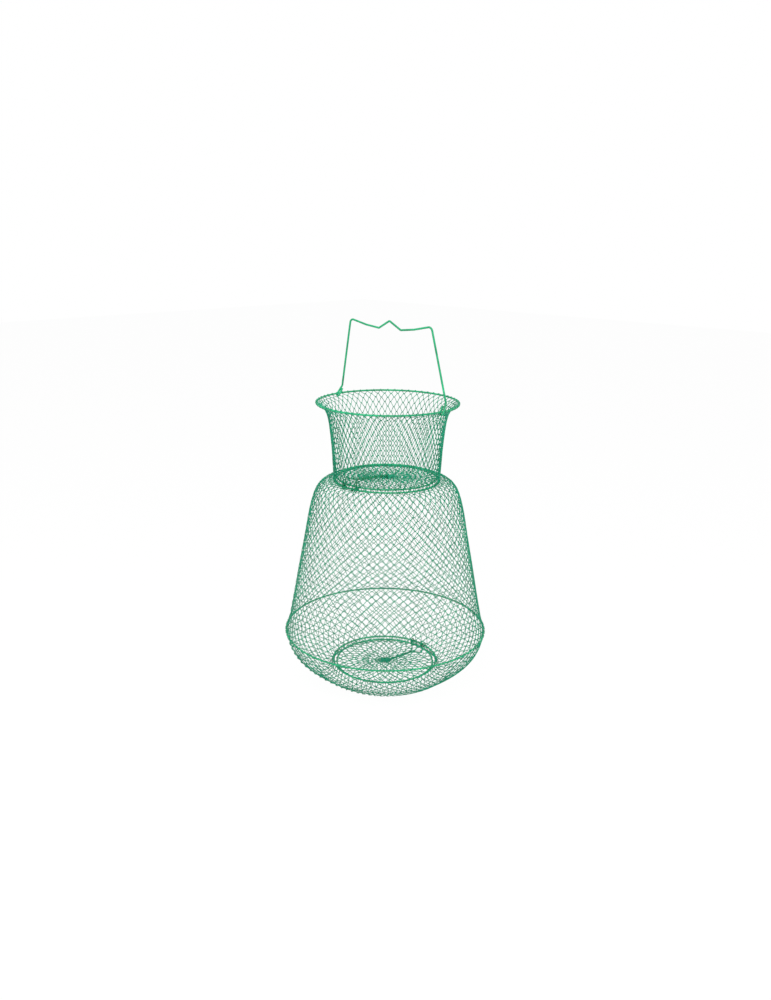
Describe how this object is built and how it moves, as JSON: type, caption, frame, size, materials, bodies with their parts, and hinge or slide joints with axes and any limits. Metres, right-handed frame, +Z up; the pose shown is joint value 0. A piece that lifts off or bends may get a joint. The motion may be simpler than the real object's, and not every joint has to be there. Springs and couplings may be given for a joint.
{
  "type": "wire keep net",
  "caption": "Collapsible wire keep net with a flared neck, a wide diamond-mesh body and base on wire rings, sprung round doors at both ends and a folding wire bail.",
  "frame": {"origin": "centre of the footprint, on the ground under the base net", "axes": "+Z up through the neck; X runs along the bail's pivot line; the top door hinges on the -Y side and the bottom door on the +Y side"},
  "size_m": [0.3324, 0.3324, 0.583],
  "materials": {
    "ring_wire": "gloss coated wire",
    "net_wire": "satin coated wire",
    "spring_wire": "satin coated wire"
  },
  "bodies": {
    "base": {"bottom_ring": "ring_wire", "base_net": "net_wire"},
    "hoop": {"hoop_ring": "ring_wire", "body_net_lower": "net_wire", "body_net_middle": "net_wire", "body_net_upper": "net_wire"},
    "collar": {"collar_ring": "ring_wire", "neck_net": "net_wire"},
    "rim": {"rim_ring": "ring_wire"},
    "bail": {"bail_handle": "ring_wire"},
    "top_door": {"top_door_ring": "ring_wire", "top_door_net": "net_wire", "top_door_eyelet": "spring_wire", "top_door_spring": "spring_wire", "top_hinge_clip_left": "spring_wire", "top_hinge_clip_right": "spring_wire"},
    "bottom_door": {"bottom_door_ring": "ring_wire", "bottom_door_net": "net_wire", "bottom_door_eyelet": "spring_wire", "bottom_door_spring": "spring_wire", "bottom_hinge_clip_left": "spring_wire", "bottom_hinge_clip_right": "spring_wire"}
  },
  "joints": [
    {"name": "base_collapse", "type": "slide", "parent": "base", "child": "hoop", "axis": [0, 0, 1], "range_m": [-0.05, 0], "deforming": ["base_net"]},
    {"name": "body_collapse", "type": "slide", "parent": "hoop", "child": "collar", "axis": [0, 0, 1], "range_m": [-0.235, 0], "deforming": ["body_net_lower", "body_net_middle", "body_net_upper"]},
    {"name": "neck_collapse", "type": "slide", "parent": "collar", "child": "rim", "axis": [0, 0, 1], "range_m": [-0.11, 0], "deforming": ["neck_net"]},
    {"name": "bail_swing", "type": "hinge", "parent": "rim", "child": "bail", "pos_m": [0, 0, 0.457], "axis": [-1, 0, 0], "range_deg": [-80, 10]},
    {"name": "top_door_hinge", "type": "hinge", "parent": "collar", "child": "top_door", "pos_m": [0, -0.0832, 0.333], "axis": [-1, 0, 0], "range_deg": [0, 85], "stiffness_Nm_per_rad": 0.1, "springref_deg": -40.11},
    {"name": "bottom_door_hinge", "type": "hinge", "parent": "base", "child": "bottom_door", "pos_m": [0, 0.0858, 0.0165], "axis": [-1, 0, 0], "range_deg": [0, 85], "stiffness_Nm_per_rad": 0.1, "springref_deg": -40.11}
  ]
}
